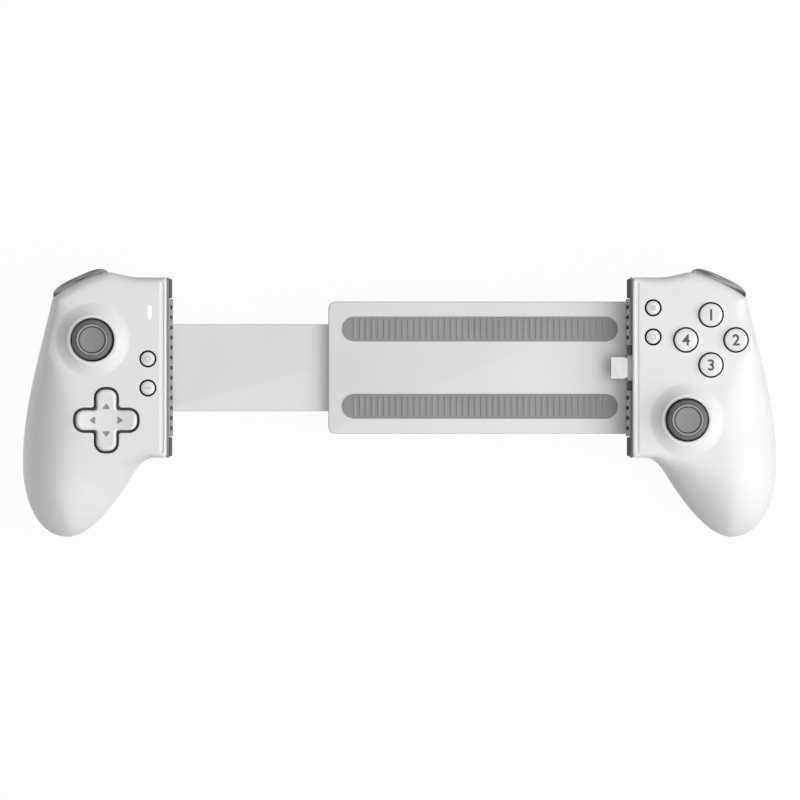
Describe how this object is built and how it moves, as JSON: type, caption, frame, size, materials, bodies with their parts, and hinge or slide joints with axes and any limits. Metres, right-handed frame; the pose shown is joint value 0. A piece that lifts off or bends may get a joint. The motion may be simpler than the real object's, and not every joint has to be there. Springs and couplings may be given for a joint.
{
  "type": "mobile game controller",
  "caption": "Phone gamepad of white grips on a spring-loaded sliding bridge, with thumbsticks, D-pad, face buttons, shoulder buttons and a USB-C plug.",
  "frame": {"origin": "middle of the controller's length and height, on the table it lies on", "axes": "+X to the player's right, +Y towards the shoulder buttons, +Z out of the front face"},
  "size_m": [0.2734, 0.0971, 0.0457],
  "materials": {
    "white_shell": "glossy white moulded plastic",
    "white_button": "glossy white button plastic",
    "stick_rubber": "matt grey stick cap",
    "smoke_plastic": "smoky translucent grey plastic",
    "trigger_plastic": "satin light plastic",
    "pad_rubber": "ribbed grey rubber",
    "dark_plastic": "dark grey textured plastic",
    "board": "green solder mask",
    "silicone": "milky silicone",
    "steel": "bright steel",
    "sheet_metal": "stamped sheet metal",
    "inner_plastic": "plain moulded plastic",
    "bridge_plastic": "fine-textured white plastic",
    "strip_rubber": "soft grey rubber",
    "ribbon": "amber polyimide",
    "plug_metal": "bright drawn steel",
    "plug_black": "black moulded plastic",
    "light_pipe": "milky light pipe"
  },
  "bodies": {
    "right_half": {"right_front_shell": "white_shell", "right_rear_shell": "white_shell", "right_pad_carrier": "dark_plastic", "right_rubber_pad": "pad_rubber", "bridge_rear_cover": "bridge_plastic", "bridge_front_cover": "bridge_plastic", "bridge_rubber_strips": "strip_rubber", "right_circuit_board": "board", "right_keypad": "silicone", "right_stick_housing": "sheet_metal", "right_bumper_pin": "steel", "right_trigger_pin": "steel", "right_trigger_spring": "steel", "right_screws": "steel", "plug_bracket": "sheet_metal", "guide_rods": "steel", "bridge_springs": "steel", "ribbon_cable": "ribbon"},
    "left_half": {"left_front_shell": "white_shell", "left_rear_shell": "white_shell", "left_pad_carrier": "dark_plastic", "left_rubber_pad": "pad_rubber", "slide_plate": "bridge_plastic", "status_light": "light_pipe", "left_circuit_board": "board", "left_keypad": "silicone", "left_stick_housing": "sheet_metal", "left_bumper_pin": "steel", "left_trigger_pin": "steel", "left_trigger_spring": "steel", "left_screws": "steel", "dpad_post": "inner_plastic", "slide_cover": "bridge_plastic"},
    "left_stick_press": {"left_stick_carrier": "inner_plastic"},
    "left_stick_tilt": {"left_stick_yoke": "dark_plastic"},
    "left_stick": {"left_stick_shaft": "steel", "left_stick_cap": "stick_rubber"},
    "right_stick_press": {"right_stick_carrier": "inner_plastic"},
    "right_stick_tilt": {"right_stick_yoke": "dark_plastic"},
    "right_stick": {"right_stick_shaft": "steel", "right_stick_cap": "stick_rubber"},
    "dpad_pivot": {"dpad_ball": "steel"},
    "dpad": {"dpad": "white_button"},
    "face_button_top": {"face_button_top": "white_button"},
    "face_button_right": {"face_button_right": "white_button"},
    "face_button_bottom": {"face_button_bottom": "white_button"},
    "face_button_left": {"face_button_left": "white_button"},
    "right_small_button_upper": {"right_small_button_upper": "white_button"},
    "right_small_button_lower": {"right_small_button_lower": "white_button"},
    "left_small_button_upper": {"left_small_button_upper": "white_button"},
    "left_small_button_lower": {"left_small_button_lower": "white_button"},
    "right_bumper": {"right_bumper": "smoke_plastic"},
    "right_trigger": {"right_trigger": "trigger_plastic"},
    "left_bumper": {"left_bumper": "smoke_plastic"},
    "left_trigger": {"left_trigger": "trigger_plastic"},
    "usb_plug": {"plug_carrier": "inner_plastic", "plug_shell": "plug_metal", "plug_tongue": "plug_black"}
  },
  "joints": [
    {"name": "bridge_slide", "type": "slide", "parent": "right_half", "child": "left_half", "axis": [-1, 0, 0], "range_m": [-0.054, 0.021], "deforming": ["bridge_springs", "ribbon_cable"]},
    {"name": "left_stick_click", "type": "slide", "parent": "left_half", "child": "left_stick_press", "axis": [0, 0, -1], "range_m": [0, 0.0005], "stiffness_N_per_m": 2000},
    {"name": "left_stick_sideways", "type": "hinge", "parent": "left_stick_press", "child": "left_stick_tilt", "pos_m": [-0.11085, 0.0226, 0.026], "axis": [0, 1, 0], "range_deg": [-15, 15], "stiffness_Nm_per_rad": 0.05},
    {"name": "left_stick_updown", "type": "hinge", "parent": "left_stick_tilt", "child": "left_stick", "pos_m": [-0.11085, 0.0226, 0.026], "axis": [1, 0, 0], "range_deg": [-15, 15], "stiffness_Nm_per_rad": 0.05},
    {"name": "right_stick_click", "type": "slide", "parent": "right_half", "child": "right_stick_press", "axis": [0, 0, -1], "range_m": [0, 0.0005], "stiffness_N_per_m": 2000},
    {"name": "right_stick_sideways", "type": "hinge", "parent": "right_stick_press", "child": "right_stick_tilt", "pos_m": [0.1039, -0.0063, 0.026], "axis": [0, 1, 0], "range_deg": [-15, 15], "stiffness_Nm_per_rad": 0.05},
    {"name": "right_stick_updown", "type": "hinge", "parent": "right_stick_tilt", "child": "right_stick", "pos_m": [0.1039, -0.0063, 0.026], "axis": [1, 0, 0], "range_deg": [-15, 15], "stiffness_Nm_per_rad": 0.05},
    {"name": "dpad_updown", "type": "hinge", "parent": "left_half", "child": "dpad_pivot", "pos_m": [-0.1059, -0.0064, 0.03], "axis": [1, 0, 0], "range_deg": [-5, 5], "stiffness_Nm_per_rad": 0.1, "deforming": ["left_keypad"]},
    {"name": "dpad_sideways", "type": "hinge", "parent": "dpad_pivot", "child": "dpad", "pos_m": [-0.1059, -0.0064, 0.03], "axis": [0, 1, 0], "range_deg": [-5, 5], "stiffness_Nm_per_rad": 0.1, "deforming": ["left_keypad"]},
    {"name": "face_button_top_press", "type": "slide", "parent": "right_half", "child": "face_button_top", "axis": [0, 0, -1], "range_m": [0, 0.0012], "stiffness_N_per_m": 600, "deforming": ["right_keypad"]},
    {"name": "face_button_right_press", "type": "slide", "parent": "right_half", "child": "face_button_right", "axis": [0, 0, -1], "range_m": [0, 0.0012], "stiffness_N_per_m": 600, "deforming": ["right_keypad"]},
    {"name": "face_button_bottom_press", "type": "slide", "parent": "right_half", "child": "face_button_bottom", "axis": [0, 0, -1], "range_m": [0, 0.0012], "stiffness_N_per_m": 600, "deforming": ["right_keypad"]},
    {"name": "face_button_left_press", "type": "slide", "parent": "right_half", "child": "face_button_left", "axis": [0, 0, -1], "range_m": [0, 0.0012], "stiffness_N_per_m": 600, "deforming": ["right_keypad"]},
    {"name": "right_small_button_upper_press", "type": "slide", "parent": "right_half", "child": "right_small_button_upper", "axis": [0, 0, -1], "range_m": [0, 0.0005], "stiffness_N_per_m": 1500, "deforming": ["right_keypad"]},
    {"name": "right_small_button_lower_press", "type": "slide", "parent": "right_half", "child": "right_small_button_lower", "axis": [0, 0, -1], "range_m": [0, 0.0005], "stiffness_N_per_m": 1500, "deforming": ["right_keypad"]},
    {"name": "left_small_button_upper_press", "type": "slide", "parent": "left_half", "child": "left_small_button_upper", "axis": [0, 0, -1], "range_m": [0, 0.0005], "stiffness_N_per_m": 1500, "deforming": ["left_keypad"]},
    {"name": "left_small_button_lower_press", "type": "slide", "parent": "left_half", "child": "left_small_button_lower", "axis": [0, 0, -1], "range_m": [0, 0.0005], "stiffness_N_per_m": 1500, "deforming": ["left_keypad"]},
    {"name": "right_bumper_press", "type": "hinge", "parent": "right_half", "child": "right_bumper", "pos_m": [0.10655, 0.04627, 0.025], "axis": [0, 0, -1], "range_deg": [0, 2.5], "stiffness_Nm_per_rad": 0.6},
    {"name": "right_trigger_pull", "type": "hinge", "parent": "right_half", "child": "right_trigger", "pos_m": [0.11364, 0.03886, 0.0168], "axis": [-0.9098, 0.4151, 0], "range_deg": [0, 16], "stiffness_Nm_per_rad": 0.08, "deforming": ["right_trigger_spring"]},
    {"name": "left_bumper_press", "type": "hinge", "parent": "left_half", "child": "left_bumper", "pos_m": [-0.10655, 0.04627, 0.025], "axis": [0, 0, 1], "range_deg": [0, 2.5], "stiffness_Nm_per_rad": 0.6},
    {"name": "left_trigger_pull", "type": "hinge", "parent": "left_half", "child": "left_trigger", "pos_m": [-0.11364, 0.03886, 0.0168], "axis": [-0.9098, -0.4151, 0], "range_deg": [0, 16], "stiffness_Nm_per_rad": 0.08, "deforming": ["left_trigger_spring"]},
    {"name": "usb_plug_tilt", "type": "hinge", "parent": "right_half", "child": "usb_plug", "pos_m": [0.0882, 0.0125, 0.028], "axis": [0, 1, 0], "range_deg": [-8, 8], "stiffness_Nm_per_rad": 0.02}
  ]
}
